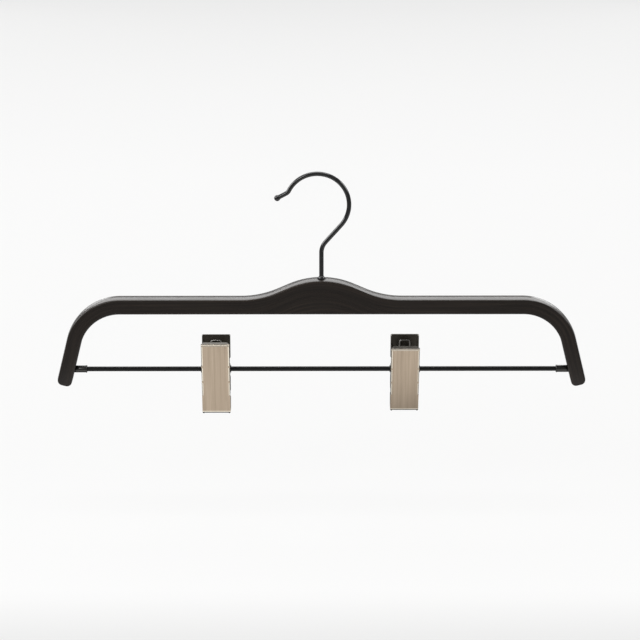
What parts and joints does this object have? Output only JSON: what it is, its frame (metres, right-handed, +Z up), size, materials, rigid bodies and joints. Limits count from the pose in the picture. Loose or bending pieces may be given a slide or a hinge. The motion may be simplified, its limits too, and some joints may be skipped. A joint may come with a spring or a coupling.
{
  "type": "trouser hanger",
  "caption": "Trouser hanger: black wooden frame with a swivel wire hook, a steel bar between its legs and sprung clips that slide and swing on the bar.",
  "frame": {"origin": "the rail's seat: the top of the hook's inside, in the middle of its wire", "axes": "+X along the trouser bar to the right as seen from the front, +Y to the back, +Z up"},
  "size_m": [0.3804, 0.0272, 0.1796],
  "materials": {
    "black_wire": "glossy black lacquer",
    "black_wood": "black lacquer over a faint brown grain, satin",
    "bush": "dark nylon",
    "zinc": "zinc plated",
    "black_bar": "black lacquer",
    "ferrule": "dark nickel",
    "clip_sheet": "antique brass brushed along the jaw, dark inside",
    "rubber": "black ribbed rubber",
    "spring_wire": "bright drawn spring wire"
  },
  "bodies": {
    "hook_body": {"hook": "black_wire", "hook_collar": "black_wire", "hook_washer": "zinc", "hook_nut": "zinc"},
    "frame_body": {"hanger_frame": "black_wood", "hook_bush": "bush", "trouser_bar": "black_bar", "left_ferrule": "ferrule", "right_ferrule": "ferrule"},
    "left_slider": {"left_sleeve": "black_bar"},
    "left_back": {"left_back_jaw": "clip_sheet", "left_back_pad": "rubber", "left_spring": "spring_wire"},
    "left_front": {"left_front_jaw": "clip_sheet", "left_front_pad": "rubber"},
    "right_slider": {"right_sleeve": "black_bar"},
    "right_back": {"right_back_jaw": "clip_sheet", "right_back_pad": "rubber", "right_spring": "spring_wire"},
    "right_front": {"right_front_jaw": "clip_sheet", "right_front_pad": "rubber"}
  },
  "joints": [
    {"name": "hook_swivel", "type": "hinge", "parent": "hook_body", "child": "frame_body", "pos_m": [0.0029, 0, -0.085], "axis": [0, 0, 1], "continuous": true},
    {"name": "left_clip_slide", "type": "slide", "parent": "frame_body", "child": "left_slider", "axis": [1, 0, 0], "range_m": [-0.082, 0.0638]},
    {"name": "left_clip_swing", "type": "hinge", "parent": "left_slider", "child": "left_back", "pos_m": [-0.0731, 0, -0.143], "axis": [1, 0, 0], "range_deg": [-93.4, 86.6]},
    {"name": "left_clip_open", "type": "hinge", "parent": "left_back", "child": "left_front", "pos_m": [-0.0731, 0, -0.143], "axis": [-1, 0, 0], "range_deg": [0, 33], "stiffness_Nm_per_rad": 0.17, "springref_deg": -34.38, "deforming": ["left_spring"]},
    {"name": "right_clip_slide", "type": "slide", "parent": "frame_body", "child": "right_slider", "axis": [1, 0, 0], "range_m": [-0.0478, 0.098]},
    {"name": "right_clip_swing", "type": "hinge", "parent": "right_slider", "child": "right_back", "pos_m": [0.0629, 0, -0.143], "axis": [1, 0, 0], "range_deg": [-102.4, 77.6]},
    {"name": "right_clip_open", "type": "hinge", "parent": "right_back", "child": "right_front", "pos_m": [0.0629, 0, -0.143], "axis": [-1, 0, 0], "range_deg": [0, 33], "stiffness_Nm_per_rad": 0.17, "springref_deg": -34.38, "deforming": ["right_spring"]}
  ]
}
